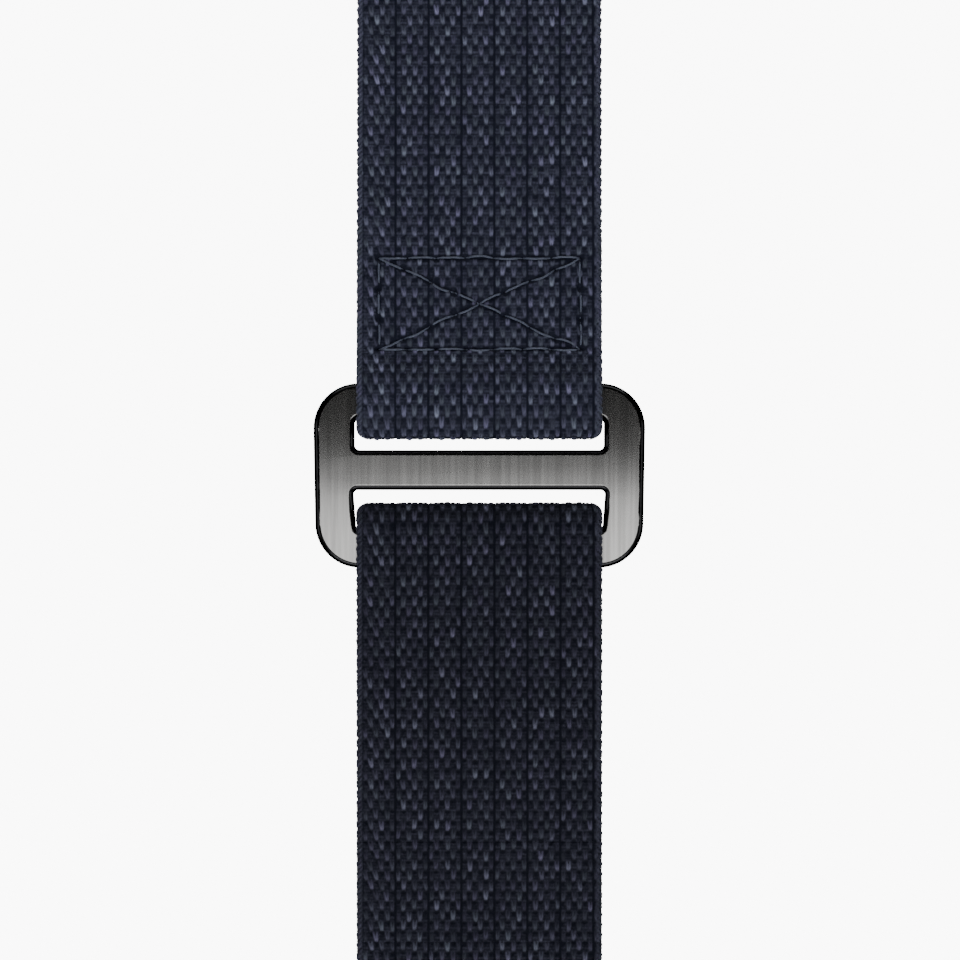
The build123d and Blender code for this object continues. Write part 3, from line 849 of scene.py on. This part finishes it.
def coil_spring(strap):
    """A spring bar's coil, built at rest; in the real bar the release pin shortens it by the pin's
    travel.
    """
    low, high = box_mm(f"{strap}_bar_spring")
    middle = (low + high) / 2
    start, end = low[0] + WIRE, high[0] - WIRE
    turn = np.linspace(0, 2 * math.pi, round((end - start) / COIL_PITCH * 24) + 1)
    turn = turn * (end - start) / COIL_PITCH
    radius = (high[1] - low[1]) / 2 - WIRE
    x = np.linspace(start, end, len(turn))
    line = np.stack([x, middle[1] + radius * np.cos(turn), middle[2] + radius * np.sin(turn)], -1)
    coil = strings(f"{strap}_bar_coil", [line], WIRE, 8, 0.0, upright=(1, 0, 0))
    finish(coil, SPRING, [f"{strap}_bar_spring"], f"{strap}_end")
    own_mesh(coil)


def paint_metal():
    """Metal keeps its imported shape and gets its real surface."""
    for name, node in frame["nodes"].items():
        if name == "buckle_frame":
            metal = GUNMETAL
        elif "_bar_" in name:
            metal = STEEL
        else:
            continue
        node.data.materials.clear()
        node.data.materials.append(metal)


# ---------------------------------------------------------------- studio
WHITE = 8.8             # emission that the view shows as the photograph's pale background
VIEW_HEIGHT = 85.9      # of the photograph, at the strap's 22 mm


def glow(name, level):
    """A pale matt surface that lights nothing itself, and only the camera sees."""
    shader = Shader(name)
    shader.set(Base_Color=(0.8, 0.8, 0.8), Roughness=0.9, Emission_Color=(1.0, 1.0, 1.0))
    shader.set(Emission_Strength=level)
    return shader.material


def make_stage():
    """A floor and a round backdrop, bright enough to look white."""
    bpy.ops.mesh.primitive_plane_add(size=9, location=(0, 0, -0.07))
    floor = bpy.context.object
    bpy.ops.mesh.primitive_uv_sphere_add(radius=4.4, segments=48, ring_count=24)
    backdrop = bpy.context.object
    for obj, name in ((floor, "floor"), (backdrop, "backdrop")):
        obj.name = name
        obj.data.materials.append(glow(name, WHITE))
        obj.visible_diffuse = False
        obj.visible_glossy = False


def softbox(name, tilt, turn, distance, size, radiance):
    """A softbox that faces the buckle from tilt degrees off overhead, turned from -Y to +X."""
    off, way = math.radians(tilt), math.radians(turn)
    across = math.sin(off)
    place = distance * Vector((across * math.sin(way), -across * math.cos(way), math.cos(off)))
    data = bpy.data.lights.new(name, "AREA")
    data.shape = "RECTANGLE"
    data.size, data.size_y = size
    data.energy = radiance * math.pi * size[0] * size[1]
    light = bpy.data.objects.new(name, data)
    light.location = place
    light.rotation_euler = (-place).to_track_quat("-Z", "Y").to_euler()
    bpy.context.scene.collection.objects.link(light)


def make_lights():
    """A broad light overhead for the metal, and low ones on each side for the weave."""
    softbox("overhead", 18.4, 0, 1.3, (1.3, 0.77), 1.38)
    softbox("front", 50, 0, 0.8, (0.9, 0.30), 6.0)
    softbox("back", 68, 180, 0.8, (0.9, 0.30), 4.5)
    softbox("left", 55, -85, 0.8, (0.5, 0.30), 3.0)
    softbox("right", 55, 85, 0.8, (0.5, 0.30), 3.0)
    world = bpy.data.worlds.new("studio")
    bpy.context.scene.world = world
    world.use_nodes = True
    world.node_tree.nodes["Background"].inputs[0].default_value = (1, 1, 1, 1)
    world.node_tree.nodes["Background"].inputs[1].default_value = 0.012


def make_camera():
    """Straight above the buckle's middle."""
    view_height, lens, sensor = VIEW_HEIGHT * MM, 250.0, 36.0
    data = bpy.data.cameras.new("camera")
    data.lens = lens
    data.sensor_width = sensor
    camera = bpy.data.objects.new("camera", data)
    camera.location = (0.00006, -0.0004, 0.004 + view_height * lens / sensor)
    bpy.context.scene.collection.objects.link(camera)
    bpy.context.scene.camera = camera


upper_webbing()
tail_webbing()
lower_webbing()
loop_tape()
hook_tape()
coil_spring("upper")
coil_spring("lower")
paint_metal()
make_stage()
make_lights()
make_camera()
